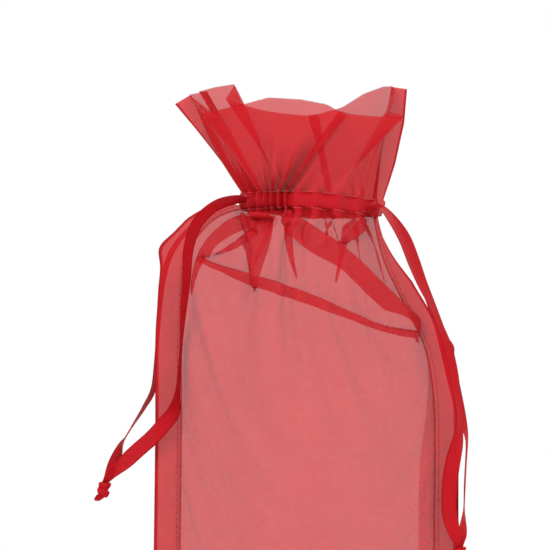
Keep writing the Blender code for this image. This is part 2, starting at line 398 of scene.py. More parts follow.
def plain_weave_group() -> bpy.types.NodeTree:
    """Plain weave: two crossed families of threads, Pitch millimetres apart, on a cloth coordinate in metres.

    Returns:
        The group, made once.
    """
    existing = bpy.data.node_groups.get("plain_weave")
    if existing:
        return existing
    tree, bench, given, result = new_group(
        "plain_weave",
        (("Cloth", "NodeSocketVector", None), ("Pitch", "NodeSocketFloat", 0.9)),
        (("Threads", "NodeSocketFloat"), ("Height", "NodeSocketFloat")),
    )
    place = bench.split(given.outputs["Cloth"])
    turns = bench.sum("DIVIDE", 2 * math.pi * 1000, given.outputs["Pitch"])
    waves = []
    for axis in (0, 1):
        angle = bench.sum("MULTIPLY", place[axis], turns)
        waves.append(bench.sum("MULTIPLY_ADD", bench.sum("SINE", angle), 0.5, 0.5))
    open_area = bench.sum("MULTIPLY", bench.sum("SUBTRACT", 1.0, waves[0]), bench.sum("SUBTRACT", 1.0, waves[1]))
    bench.join(bench.sum("SUBTRACT", 1.0, open_area), result.inputs["Threads"])
    bench.join(bench.sum("MULTIPLY", bench.sum("ADD", waves[0], waves[1]), 0.5), result.inputs["Height"])
    return tree


def watered_group() -> bpy.types.NodeTree:
    """The wavy light and dark bands that two sheer layers make together, like contour lines on a soft noise.

    Returns:
        The group, made once.
    """
    existing = bpy.data.node_groups.get("watered_bands")
    if existing:
        return existing
    tree, bench, given, result = new_group(
        "watered_bands",
        (("Cloth", "NodeSocketVector", None), ("Scale", "NodeSocketFloat", 40.0), ("Bands", "NodeSocketFloat", 14.0)),
        (("Bands", "NodeSocketFloat"), ("Drift", "NodeSocketFloat")),
    )
    noise = bench.add("ShaderNodeTexNoise")
    bench.join(given.outputs["Cloth"], noise.inputs["Vector"])
    bench.join(given.outputs["Scale"], noise.inputs["Scale"])
    set_inputs(noise, {"Detail": 1.5})
    turns = bench.sum("MULTIPLY", given.outputs["Bands"], 2 * math.pi)
    wave = bench.sum("SINE", bench.sum("MULTIPLY", noise.outputs[0], turns))
    bench.join(bench.sum("MULTIPLY_ADD", wave, 0.5, 0.5), result.inputs["Bands"])
    bench.join(noise.outputs[0], result.inputs["Drift"])
    return tree


MEAN_THREADS = 0.75  # the mean of the weave group's Threads
SEAM_EDGE = 1 / 900  # how far past a seam's line its thinning is full, in metres


@dataclass(frozen=True)
class OrganzaFinish:
    """Sheer nylon organza: how dense, how dark and how glossy one layer of it is.

    inside is the share of the density that is left where the uv's x is below 0, past a seam's line.
    """

    name: str
    colour: tuple[float, float, float] = (0.52, 0.008, 0.015)
    shade: tuple[float, float, float] = (0.42, 0.005, 0.010)
    alpha: float = 0.635
    roughness: float = 0.42
    weave_pitch: float = 0.50
    weave_depth: float = 0.04
    band_depth: float = 0.022
    inside: float = 1.0

    def build(self) -> bpy.types.Material:
        """The material, with weave and watered bands in its alpha, its colour and its bump.

        Returns:
            The material.
        """
        material, bench, shader, cloth = new_material(self.name)
        weave = bench.group(plain_weave_group(), cloth, Pitch=self.weave_pitch)
        bands = bench.group(watered_group(), cloth)
        threads = bench.sum("SUBTRACT", weave.outputs["Threads"], MEAN_THREADS)
        threads = bench.sum("MULTIPLY", threads, self.weave_depth)
        watered = bench.sum("MULTIPLY", bench.sum("SUBTRACT", bands.outputs["Bands"], 0.5), self.band_depth)
        alpha = bench.sum("ADD", bench.sum("ADD", threads, watered), self.alpha, clamp=True)
        if self.inside < 1.0:
            behind = bench.sum("SUBTRACT", 0.0, bench.split(cloth)[0])
            within = bench.sum("MULTIPLY", behind, 1 / SEAM_EDGE, clamp=True)
            thinned = bench.sum("MULTIPLY", within, 1.0 - self.inside)
            alpha = bench.sum("MULTIPLY", alpha, bench.sum("SUBTRACT", 1.0, thinned))
        bench.join(alpha, shader.inputs["Alpha"])

        tone = bench.blend_colour(bands.outputs["Drift"], (*self.shade, 1.0), (*self.colour, 1.0))
        bench.join(tone, shader.inputs["Base Color"])
        gloss = {"Roughness": self.roughness, "Specular IOR Level": 0.10}
        sheen = {"Sheen Weight": 0.03, "Sheen Roughness": 0.35, "Sheen Tint": (1.0, 0.35, 0.35, 1.0)}
        set_inputs(shader, gloss | sheen)
        bench.join(bench.bump(weave.outputs["Height"], 0.25, 0.2 * MM), shader.inputs["Normal"])
        return material


@dataclass(frozen=True)
class RibbonFinish:
    """Woven satin ribbon: fine ribs across it and a firmer, darker edge on each side."""

    name: str
    width: float
    colour: tuple[float, float, float] = (0.42, 0.007, 0.012)
    edge: tuple[float, float, float] = (0.30, 0.004, 0.008)
    rib_pitch: float = 0.55
    roughness: float = 0.60
    alpha: float = 0.93

    def build(self) -> bpy.types.Material:
        """The material. The ribbon's uv runs across it in x and along it in y, in metres.

        Returns:
            The material.
        """
        material, bench, shader, cloth = new_material(self.name)
        weave = bench.group(plain_weave_group(), cloth, Pitch=self.rib_pitch)
        off_middle = bench.sum("ABSOLUTE", bench.sum("DIVIDE", bench.split(cloth)[0], self.width / 2))
        selvage = bench.add("ShaderNodeMapRange")
        set_inputs(selvage, {"From Min": 0.72, "From Max": 0.95})
        bench.join(off_middle, selvage.inputs["Value"])
        noise = bench.add("ShaderNodeTexNoise")
        set_inputs(noise, {"Scale": 220.0})
        bench.join(cloth, noise.inputs["Vector"])
        ribs = bench.sum("MULTIPLY", weave.outputs["Threads"], bench.sum("MULTIPLY_ADD", noise.outputs[0], 0.5, 0.75))
        tone = bench.blend_colour(selvage.outputs[0], (*self.colour, 1.0), (*self.edge, 1.0))
        tone = bench.blend_colour(bench.sum("MULTIPLY", ribs, 0.35, clamp=True), tone, (*self.edge, 1.0))
        bench.join(tone, shader.inputs["Base Color"])
        gloss = {"Roughness": self.roughness, "Specular IOR Level": 0.10, "IOR": 1.3}
        set_inputs(shader, gloss | {"Alpha": self.alpha})
        bench.join(bench.bump(weave.outputs["Height"], 0.25, 0.15 * MM), shader.inputs["Normal"])
        return material


@dataclass(frozen=True)
class ThreadFinish:
    """Twisted polyester sewing thread."""

    name: str = "sewing_thread_red"
    colour: tuple[float, float, float] = (0.50, 0.010, 0.016)
    # The lighter red of the painted highlight on the plies, painted bright against the cloth's shadow on the thread.
    light: tuple[float, float, float] = (0.66, 0.022, 0.034)
    twist_pitch: float = 0.45

    def build(self) -> bpy.types.Material:
        """The material: a painted highlight, a lighter red that winds with the two plies round the thread.

        Returns:
            The material.
        """
        material, bench, shader, cloth = new_material(self.name)
        place = bench.split(cloth)
        along = bench.sum("MULTIPLY", place[1], 2 * math.pi * 1000 / self.twist_pitch)
        wound = bench.sum("ADD", along, bench.sum("MULTIPLY", place[0], 1000.0))
        # The painted highlight's share, rising and falling along the twist of the plies.
        ply_highlight = bench.sum("MULTIPLY_ADD", bench.sum("SINE", wound), 0.5, 0.5)
        bench.join(bench.blend_colour(ply_highlight, (*self.colour, 1.0), (*self.light, 1.0)), shader.inputs["Base Color"])
        set_inputs(shader, {"Roughness": 0.55, "Sheen Weight": 0.2})
        return material


# ---------------------------------------------------------------------------------------------------------
# Cloth


@dataclass
class Relaxer:
    """Position-based relaxation of a tube of cloth, as a grid of rows x columns closed round its columns.

    Threads along and across keep their length, the diagonals hold a little against shear, and links over two
    cells hold a little against bending. Each family of links is split into batches in which no point comes
    twice, so that a batch is solved as whole arrays. stride is the furthest that a point drifts in one step.
    """

    places: np.ndarray
    weight: np.ndarray
    across: np.ndarray
    along: np.ndarray
    shear: float = 0.30
    bend: float = 0.16
    stride: float = 0.0012
    batches: list[tuple[np.ndarray, np.ndarray, np.ndarray, float]] = field(default_factory=list)

    def __post_init__(self) -> None:
        """Lay out the links."""
        rows, columns, _ = self.places.shape
        index = np.arange(rows * columns).reshape(rows, columns)
        step_u = np.broadcast_to(self.across, (rows, columns))
        step_v = np.broadcast_to(self.along[:, None], (rows - 1, columns))

        def batch(a: np.ndarray, b: np.ndarray, rest: np.ndarray, stiffness: float) -> None:
            """Add one batch of links from a to b."""
            self.batches.append((a.ravel(), b.ravel(), rest.ravel().copy(), stiffness))

        beside = np.roll(index, -1, axis=1)
        for start in (0, 1):
            batch(index[:, start::2], beside[:, start::2], step_u[:, start::2], 1.0)
            batch(index[start:-1:2], index[start + 1 :: 2][: len(index[start:-1:2])], step_v[start::2], 1.0)
        slant = np.hypot(step_u[:-1], step_v)
        for start in (0, 1):
            low, high = index[:-1][start::2], index[1:][start::2]
            batch(low, np.roll(high, -1, axis=1), slant[start::2], self.shear)
            batch(np.roll(low, -1, axis=1), high, slant[start::2], self.shear)
        two_over = np.roll(index, -2, axis=1)
        for start in (0, 2):
            picked = np.concatenate([np.arange(start, columns, 4), np.arange(start + 1, columns, 4)])
            batch(index[:, picked], two_over[:, picked], 2 * step_u[:, picked], self.bend)
            picked = np.concatenate([np.arange(start, rows - 2, 4), np.arange(start + 1, rows - 2, 4)])
            rest = (step_v[:-1] + step_v[1:])[picked]
            batch(index[picked], index[picked + 2], rest, self.bend)

    def relax(self, steps: int, gravity: float, damping: float, limits: Sequence) -> None:
        """Let the cloth settle.

        Args:
            steps: How many steps to take.
            gravity: How far a free point falls in one step, in metres.
            damping: Share of a point's motion that it keeps to the next step.
            limits: Functions that take the places, (n, 3), and push points off what they may not enter.
        """
        x = self.places.reshape(-1, 3).copy()
        w = self.weight.ravel().copy()
        free = (w > 0)[:, None]
        before = x.copy()
        for _ in range(steps):
            motion = (x - before) * damping
            motion[:, 2] -= gravity
            length = np.linalg.norm(motion, axis=1, keepdims=True)
            motion *= np.minimum(1.0, self.stride / np.maximum(length, 1e-9))
            before = x.copy()
            x = x + np.where(free, motion, 0.0)
            for a, b, rest, stiffness in self.batches:
                gap = x[b] - x[a]
                long = np.sqrt(np.einsum("ij,ij->i", gap, gap)) + 1e-12
                both = w[a] + w[b]
                pull = stiffness * (long - rest) / (long * np.maximum(both, 1e-9))
                gap *= pull[:, None]
                x[a] += w[a][:, None] * gap
                x[b] -= w[b][:, None] * gap
            for limit in limits:
                limit(x)
        self.places = x.reshape(self.places.shape)


@dataclass
class BagCloth:
    """The one tube of cloth that all the bag's fabric pieces are cut from, settled into its gathered shape.

    Columns run round the bag from the left seam, over the front, to the right seam and over the back. Rows run
    up from the folded base to the rim of the ruffle. u and v are the places on the flat cloth, in metres.
    """

    panel: float = 137 * MM
    wall: float = 264 * MM
    channel: float = 7 * MM
    header: float = 41 * MM
    half_columns: int = 86
    neck_middle: float = 0.8 * MM
    neck_half_width: float = 25.0 * MM
    neck_half_depth: float = 17.2 * MM
    belly: float = 41.0 * MM
    pleat: float = 12.5 * MM
    base_half_width: float = 62 * MM
    body_half_width: float = 50.3 * MM
    base_flare: float = 0.05
    draw_in_from: float = 0.178
    places: np.ndarray = field(init=False)

    def __post_init__(self) -> None:
        """Set out the flat cloth's rows and columns."""
        self.columns = 2 * self.half_columns
        self.u = np.arange(self.columns) * (2 * self.panel / self.columns)
        fine, top = 0.095, self.wall + self.channel
        parts = ((0.0, fine, 20), (fine, self.wall, 102), (self.wall, top, 4))
        rows = [np.linspace(low, high, count, endpoint=False) for low, high, count in parts]
        self.v = np.concatenate([*rows, np.linspace(top, top + self.header, 30)])
        self.channel_row = len(rows[0]) + len(rows[1])
        self.header_row = self.channel_row + len(rows[2])
        self.rows = len(self.v)

    def neck_turn(self, u: np.ndarray) -> np.ndarray:
        """Where each column meets the neck: 0 to 1 from left to right over the front, 1 to 2 over the back.

        The front's cloth is crowded into a bunch left of the middle, and lies nearly flat to the right of it.

        Args:
            u: Places round the flat cloth.

        Returns:
            A turn for each.
        """
        p = self.panel
        cloth = np.array([0, 9, 86, 137, 150, 172, 184, 206, 222, 238, 258, 274]) * MM * (p / (137 * MM))
        turn = np.array([0, 0.05, 0.335, 1.0, 1.09, 1.17, 1.30, 1.40, 1.60, 1.70, 1.88, 2.0])
        return np.interp(u, cloth, turn)

    def neck_ring(self, turn: np.ndarray) -> tuple[np.ndarray, np.ndarray]:
        """The drawstring's line round the neck, a lens drawn out in x, and its outward direction in plan.

        Args:
            turn: Turns round the neck, 0 to 2.

        Returns:
            Places, (n, 3), and directions, (n, 3).
        """
        over = np.where(turn <= 1.0, 2 * turn - 1, 3 - 2 * turn)
        side = np.where(turn <= 1.0, -1.0, 1.0)
        x = self.neck_middle + self.neck_half_width * over
        y = side * self.neck_half_depth * np.cos(over * math.pi / 2)
        z = NECK_HEIGHT - 0.05 * (x + 0.016)
        out = np.stack([x / self.neck_half_width * 0.75, y / self.neck_half_depth + 0.2 * side, 0 * x], axis=-1)
        return np.stack([x, y, z], axis=-1), unit(out)

    def pleats(self, u: np.ndarray) -> tuple[np.ndarray, np.ndarray]:
        """The gathers at the drawstring: how far each column stands out of the ring, and the pleat's depth there.

        The zigzag is a triangle wave with rounded corners. Its depth is what the spare cloth needs: a quarter
        of the pleat times sqrt(1 - c^2), where c is how far the cloth is crowded.

        Args:
            u: Places round the flat cloth, all the columns.

        Returns:
            How far each stands out, and the depth there.
        """
        turn = self.neck_turn(u)
        ring, _ = self.neck_ring(turn)
        du = 2 * self.panel / self.columns
        step = np.linalg.norm(np.roll(ring, -1, axis=0) - ring, axis=-1)
        side = round(4.8 * MM / du)
        near = np.ones(2 * side + 1) / (2 * side + 1)
        crowd = np.clip(np.convolve(np.r_[step[-side:], step, step[:side]], near, "valid") / du, 0.0, 1.0)
        depth = np.sqrt(1 - crowd**2) * self.pleat / 4
        drift = 0.0022 * np.sin(u * 61.0 + 0.7) + 0.0013 * np.sin(u * 143.0)
        wave = np.arcsin(0.95 * np.sin(2 * math.pi * (u + drift) / self.pleat)) * 2 / math.pi
        uneven = 1.0 + 0.22 * np.sin(u * 97.0 + 1.1)
        return depth * wave * uneven, depth

    def outline(self, half_width: float, half_depth: float) -> np.ndarray:
        """A flat section of the filled bag at each column: straight from the seams, then round the belly.

        Args:
            half_width: From the middle to a seam.
            half_depth: From the middle to the front.

        Returns:
            x and y for each column, (n, 2).
        """
        over = np.where(self.u <= self.panel, self.u / self.panel, 2 - self.u / self.panel) * 2 - 1
        side = np.where(self.u <= self.panel, -1.0, 1.0)
        touch = math.acos(min(half_depth / half_width, 1.0))
        straight = math.sqrt(max(half_width**2 - half_depth**2, 1e-12))
        run = (1 - np.abs(over)) * (straight + half_depth * (math.pi / 2 - touch))
        share = np.clip(run / straight, 0, 1)
        angle = touch + np.maximum(run - straight, 0) / half_depth
        x = np.where(
            run < straight,
            half_width + share * (half_depth * math.cos(touch) - half_width),
            half_depth * np.cos(angle),
        )
        y = np.where(run < straight, share * half_depth * math.sin(touch), half_depth * np.sin(angle))
        return np.stack([np.sign(over) * x, side * y], axis=-1)

    def seam_route(self, side: Side) -> np.ndarray:
        """The side seam's line from the base up to the neck, in x and z, in metres.

        Args:
            side: Which seam.

        Returns:
            Places, (n, 3).
        """
        left = (
            (-62, 0), (-55, 20), (-51.5, 42), (-50.5, 70), (-50.3, 120), (-50, 170), (-50, 200), (-49.5, 214),
            (-49, 225), (-47.5, 236), (-43.2, 244.3), (-36.8, 250.6), (-30, 253.6), (-24.4, 254.6),
        )  # fmt: skip
        right = (
            (62, 0), (55, 20), (51.5, 42), (50.2, 70), (49.6, 120), (50, 160), (49.6, 180), (47, 197), (41.5, 210),
            (35.5, 222), (30.5, 233), (27.8, 243), (25.9, 252.5),
        )  # fmt: skip
        flat = np.array(left if side is Side.LEFT else right) * MM
        return np.stack([flat[:, 0], 0 * flat[:, 0], flat[:, 1]], axis=-1)

    def rim_route(self) -> np.ndarray:
        """The rim of the ruffle: u on the cloth, then x, y and z, in millimetres. It turns back at each pleat.

        Returns:
            One row for each turn of the rim, (n, 4).
        """
        return np.array(
            (
                (0, -47, 0, 299.6), (8, -41, -6, 294.1), (16, -34.5, -10, 288.5), (24, -42, -14, 290),
                (38, -28.5, -22, 291.8), (50, -15.5, -28.5, 294.3), (62, -3, -33, 292.9), (72, 7, -33, 291),
                (80, 15, -30.5, 286.5), (85, 11, -28, 289.4), (90, 16, -27.5, 288), (100, 26, -23, 287.6),
                (110, 38, -15, 288.8), (117, 31, -12, 291.2), (124, 33, -6.5, 296), (131, 34.5, -3, 300),
                (137, 33.5, 0, 303), (147, 30, 8, 304), (158, 22.5, 15, 302.2), (168, 14, 22, 297.7),
                (178, 5, 28, 296), (184, 0, 31, 295.5), (190, 5, 27, 295.4), (196, 0, 32, 295.7),
                (206, -9.5, 31, 296.5), (214, -17, 26.5, 296.9), (221, -23.5, 22, 298), (231, -33, 19, 300.5),
                (238, -28.8, 13.5, 305.9), (247, -37, 9.5, 304), (254, -43.5, 6, 301.7), (260, -39.5, 8, 302.2),
                (265, -43.5, 4, 300.9), (274, -47, 0, 299.6),
            ),
            float,
        )  # fmt: skip

    def fan(self) -> np.ndarray:
        """The ruffle above the channel: straight lines that fan out from the gathers to the rim.

        The gathers die away as (1 - t)^1.4 up the ruffle, and a slow ripple stands highest half way up.

        Returns:
            Places, (rows, columns, 3).
        """
        ring, out = self.neck_ring(self.neck_turn(self.u))
        stand, _ = self.pleats(self.u)
        rim = self.rim_route()
        aim = np.stack([np.interp(self.u, rim[:, 0] * MM, rim[:, k] * MM) for k in (1, 2, 3)], axis=-1)
        soft = np.hanning(5) / np.hanning(5).sum()
        aim = np.stack([np.convolve(np.r_[aim[-2:, k], aim[:, k], aim[:2, k]], soft, "valid") for k in range(3)], -1)
        up = np.clip((self.v[self.header_row :] - self.wall - self.channel) / self.header, 0, 1)[:, None, None]
        ripple = (1.2 * np.sin(self.u * 232 + 0.6) + 0.6 * np.sin(self.u * 401) + 1.3 * np.sin(self.u * 68 + 2)) * MM
        stood = stand * (1 - up[..., 0]) ** 1.4 + ripple * np.sin(math.pi * np.minimum(up[..., 0] * 1.1, 1)) * 0.8
        foot = ring + np.array([0, 0, self.channel / 2])
        fanned = foot * (1 - up) + aim * up + stood[..., None] * out
        seams = [0, self.half_columns]
        fanned[:, seams] = (foot * (1 - up) + aim * up)[:, seams]
        return fanned

    def neck(self) -> np.ndarray:
        """The cloth at the channel, one row for each row of v there.

        Returns:
            Places, (rows, columns, 3).
        """
        ring, out = self.neck_ring(self.neck_turn(self.u))
        stand, _ = self.pleats(self.u)
        rise = self.v[self.channel_row : self.header_row + 1] - self.wall - self.channel / 2
        rows = (ring + stand[:, None] * out)[None] + np.array([0, 0, 1.0]) * rise[:, None, None]
        return rows

    def refine(self) -> None:
        """Halve the cloth's cells. New points lie on the cubic through the four old points round them."""
        x = self.places
        middle = (9 * (x + np.roll(x, -1, 1)) - np.roll(x, 1, 1) - np.roll(x, -2, 1)) / 16
        x = np.stack([x, middle], axis=2).reshape(len(x), -1, 3)
        ends = np.concatenate([2 * x[:1] - x[1:2], x, 2 * x[-1:] - x[-2:-1]])
        middle = (9 * (x[:-1] + x[1:]) - ends[:-3] - ends[3:]) / 16
        fine = np.empty((2 * len(x) - 1, x.shape[1], 3))
        fine[::2], fine[1::2] = x, middle
        v = np.empty(len(fine))
        v[::2], v[1::2] = self.v, (self.v[1:] + self.v[:-1]) / 2
        self.places, self.v, self.rows = fine, v, len(fine)
        self.channel_row, self.header_row = 2 * self.channel_row, 2 * self.header_row
        self.half_columns, self.columns = 2 * self.half_columns, 2 * self.columns
        self.u = np.arange(self.columns) * (2 * self.panel / self.columns)

    def first_guess(self) -> tuple[np.ndarray, np.ndarray]:
        """Places for the rows up to the channel's top, and how free each point is: the edges are held.

        The straight bag, flared to its pointed base, is drawn in towards the neck from draw_in_from up.

        Returns:
            Places, (rows, columns, 3), and weights, (rows, columns).
        """
        rows, columns = self.header_row + 1, self.columns
        v = self.v[:rows, None]

        base = self.outline(self.base_half_width, self.belly + 0.3 * MM)
        body = self.outline(self.body_half_width, self.belly + 0.4 * MM)
        flare = (1 - smoothstep(v / self.base_flare))[..., None]
        plan = base[None] * flare + body[None] * (1 - flare)
        guess = np.concatenate([plan, np.broadcast_to(v[..., None] * 0.965, (rows, columns, 1))], axis=-1)
        near = smoothstep((v - self.draw_in_from) / (self.wall - self.draw_in_from))[..., None]
        guess = guess * (1 - near) + self.neck()[:1] * near
        guess[..., 1] += np.sign(guess[..., 1]) * 0.010 * (4 * near * (1 - near))[..., 0]
        guess[self.channel_row :] = self.neck()

        weight = np.ones((rows, columns))
        weight[0] = 0.0
        weight[self.channel_row :] = 0.0
        for side, column in ((Side.LEFT, 0), (Side.RIGHT, self.half_columns)):
            share = self.v[: self.channel_row + 1] / self.wall
            guess[: self.channel_row + 1, column] = along_route(self.seam_route(side), share)
            guess[: self.channel_row + 1, column, 1] = 0.0014 * np.sin(share * 23 + column) * smoothstep(share * 4)
            weight[: self.channel_row + 1, column] = 0.0
        return guess, weight

    def settle(self, steps: int) -> None:
        """Work out the gathered shape, from a first guess between the base, the neck and the rim.

        Args:
            steps: Steps of relaxation.
        """
        guess, weight = self.first_guess()
        rows, columns = weight.shape
        column_of = np.arange(rows * columns) % columns
        off_seam = np.minimum(column_of % self.half_columns, self.half_columns - column_of % self.half_columns)
        clear = np.minimum(off_seam * 0.35, 4.0) * MM
        front, back = column_of < self.half_columns, column_of >= self.half_columns

        def off_bottle(x: np.ndarray) -> None:
            """Push points out of the round bottle shape that the bag is filled by.

            Args:
                x: Places, (n, 3), changed in place.
            """
            radius = np.interp(x[:, 2], BOTTLE_HEIGHTS, BOTTLE_RADII)
            apart = np.hypot(x[:, 0], x[:, 1]) + 1e-9
            grow = np.where(apart < radius, radius / apart, 1.0)
            grow[weight.ravel() == 0] = 1.0
            x[:, :2] *= grow[:, None]

        def halves_apart(x: np.ndarray) -> None:
            """Keep the front wall in front of the back wall.

            Args:
                x: Places, (n, 3), changed in place.
            """
            x[front, 1] = np.minimum(x[front, 1], -clear[front])
            x[back, 1] = np.maximum(x[back, 1], clear[back])
            x[:, 2] = np.maximum(x[:, 2], 0.0)

        relaxer = Relaxer(guess, weight, np.full((1, columns), 2 * self.panel / columns), np.diff(self.v[:rows]))
        relaxer.relax(steps, gravity=2.0e-6, damping=0.93, limits=[off_bottle, halves_apart])
        self.places = np.concatenate([relaxer.places, self.fan()[1:]])
        self.refine()
        self.places[self.channel_row : self.header_row + 1] = self.neck()
        self.places[self.header_row :] = self.fan()
        self.calm()
        self.lay_folds(WALL_FOLDS, 1, self.channel_row)
        self.places[..., 2] = np.maximum(self.places[..., 2], 0.0)

    def calm(self) -> None:
        """Take the small wrinkles out of the shoulders, and the level ones out of the lower wall.

        Each half is averaged three times over 9 cells, round the shoulders along its rows and low on the wall
        up its columns, mirrored at the ends so that the seams and the base stay.
        """
        rows = self.places[: self.channel_row]
        new = rows
        for _ in range(3):
            tall = np.concatenate([2 * new[:1] - new[4:0:-1], new, 2 * new[-1:] - new[-2:-6:-1]])
            new = sum(tall[k : k + len(rows)] for k in range(9)) / 9
        low = 0.9 * (1 - smoothstep((self.v[: self.channel_row] - 0.15) / 0.05))
        self.places[: self.channel_row] = rows + low[:, None, None] * (new - rows)
        v = self.v[: self.channel_row]
        ease = smoothstep((v - 0.125) / 0.045) * (1 - smoothstep((v - self.wall + 13 * MM) / (12 * MM)))
        for facing in Facing:
            columns = self.half(facing)
            old = self.places[: self.channel_row, columns]
            new = old
            for _ in range(3):
                left = 2 * new[:, :1] - new[:, 4:0:-1]
                right = 2 * new[:, -1:] - new[:, -2:-6:-1]
                wide = np.concatenate([left, new, right], axis=1)
                new = sum(wide[:, k : k + len(columns)] for k in range(9)) / 9
            self.places[: self.channel_row, columns] = old + 0.9 * ease[:, None, None] * (new - old)

    def lay_folds(self, folds: Sequence[LaidFold], low: int, high: int) -> None:
        """Lay folds into the rows from low up to high, keeping the seams and the channel where they are.

        Args:
            folds: The folds, in the order they are laid.
            low: The first row.
            high: The row after the last.
        """
        row = np.arange(low, high)
        from_channel = np.minimum(np.abs(row - self.channel_row), np.abs(row - self.header_row))
        for fold in folds:
            columns = self.half(fold.facing)[1:-1]
            part = self.places[low:high][:, columns]
            column = np.arange(1, self.half_columns)
            off_seam = np.minimum(column, self.half_columns - column)
            hold = smoothstep(from_channel / 5.0)[:, None] * smoothstep(off_seam / 6.0)[None]
            self.places[low:high, columns] = fold.lay(part.reshape(-1, 3), hold.ravel()).reshape(part.shape)

    def normals(self) -> np.ndarray:
        """The outward direction at each point: across crossed with up, from the neighbours' places.

        Returns:
            Directions, (rows, columns, 3).
        """
        across = np.roll(self.places, -1, axis=1) - np.roll(self.places, 1, axis=1)
        up = np.gradient(self.places, axis=0)
        return unit(np.cross(across, up))

    def half(self, facing: Facing) -> np.ndarray:
        """The column numbers of one half, seam to seam."""
        start = 0 if facing is Facing.FRONT else self.half_columns
        return (start + np.arange(self.half_columns + 1)) % self.columns

    def half_u(self, facing: Facing) -> np.ndarray:
        """The flat cloth's u for the columns of one half, without the jump back to 0."""
        start = 0 if facing is Facing.FRONT else self.half_columns
        return (start + np.arange(self.half_columns + 1)) * (2 * self.panel / self.columns)


@dataclass(frozen=True)
class LaidFold:
    """A fold laid flat on the cloth, three layers deep along a line seen from the front or the back.

    route holds x, z and the fold's width at each point of its line, in millimetres. lift is the height of each
    layer over the one below, in millimetres.
    """

    facing: Facing
    route: tuple[tuple[float, float, float], ...]
    lift: float = 0.6
    fade: float = 0.05

    def lay(self, points: np.ndarray, hold: np.ndarray) -> np.ndarray:
        """The cloth's points with the fold laid in.

        With s the distance from the line and c the fold's scale, s becomes s (1 - 3 exp(-(s / c)^2 / 2)): the
        cloth within 1.48 c of the line turns back over itself, and three layers lie 1.89 c wide.

        Args:
            points: Places, (n, 3).
            hold: 1 where a point may move and 0 where it may not, (n,).

        Returns:
            The new places, (n, 3).
        """
        line = smooth_curve(np.array(self.route, float) * MM, 260)
        flat, width = line[:, :2], line[:, 2]
        ahead = unit(np.gradient(flat, axis=0))
        beside = np.stack([-ahead[:, 1], ahead[:, 0]], axis=-1)
        place = points[:, [0, 2]]
        margin = 20 * MM
        inside = np.all((place > flat.min(0) - margin) & (place < flat.max(0) + margin), axis=1)
        picked = np.flatnonzero(inside)
        off = place[picked, None] - flat[None]
        near = np.argmin((off**2).sum(-1), axis=1)
        nearest = off[np.arange(len(picked)), near]
        s = np.einsum("ij,ij->i", nearest, beside[near])
        past = np.abs(np.einsum("ij,ij->i", nearest, ahead[near]))
        share = near / (len(line) - 1)
        strength = smoothstep(share / self.fade) * smoothstep((1 - share) / self.fade)
        strength = strength * np.exp(-((past / (2 * MM)) ** 2)) * hold[picked]
        c = width[near] / 1.89 * (0.35 + 0.65 * strength)
        turned = s * (1 - 3 * strength * np.exp(-((s / c) ** 2) / 2))
        edge = 0.75 * c
        step = np.where(s < -edge, np.exp(-(((-edge - s) / (5 * MM)) ** 2)), 1 - smoothstep(s / (2 * edge) + 0.5))
        moved = points.copy()
        shift = turned - s
        moved[picked, 0] += shift * beside[near, 0]
        moved[picked, 2] += shift * beside[near, 1]
        moved[picked, 1] += self.facing.value * 2 * self.lift * MM * step * strength
        return moved


# The folds laid over the shoulders.
WALL_FOLDS = (
    LaidFold(
        Facing.FRONT,
        ((-47, 235.5, 1.2), (-34, 230, 2.6), (-21, 224.5, 4.4), (1, 216.5, 4.2), (22, 208.5, 2.6), (49, 199.5, 1.2)),
    ),
    LaidFold(Facing.FRONT, ((-12, 252.0, 6.0), (1, 241, 9.0), (15, 232.3, 7.5), (30, 218.6, 7.0), (48, 204, 5.5))),
    LaidFold(Facing.FRONT, ((-15.5, 254, 6.0), (-17, 242, 5.0), (-19.5, 230, 2.8), (-21, 220, 0.8))),
    LaidFold(Facing.FRONT, ((-20.5, 254, 5.0), (-23, 243, 4.4), (-22.5, 231, 2.4), (-21.5, 221, 0.8))),
    LaidFold(
        Facing.FRONT, ((-23, 250.5, 5.0), (-31, 246.5, 5.5), (-39, 239.5, 4.5), (-44, 230, 2.6), (-46, 219, 0.8))
    ),
    LaidFold(Facing.FRONT, ((-20, 245, 4.0), (-28, 239.5, 3.2), (-36, 236.0, 1.8), (-43, 234.5, 0.8))),
    LaidFold(Facing.FRONT, ((11, 238.5, 0.8), (17, 242.5, 3.5), (23.5, 250, 6.0))),
    LaidFold(Facing.BACK, ((16, 253, 4.0), (14, 240, 2.6), (11, 226, 0.8))),
    LaidFold(Facing.BACK, ((-8, 253, 4.0), (-7, 240, 2.6), (-4, 228, 0.8))),
)


def blend_at_neck(piece: bpy.types.Object) -> None:
    """Bake the transform of a piece at the neck into its mesh."""
    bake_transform(piece)


def blend_at_shoulder(piece: bpy.types.Object) -> None:
    """Bake the wall's transform into its mesh.

    Args:
        piece: The wall.
    """
    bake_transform(piece)


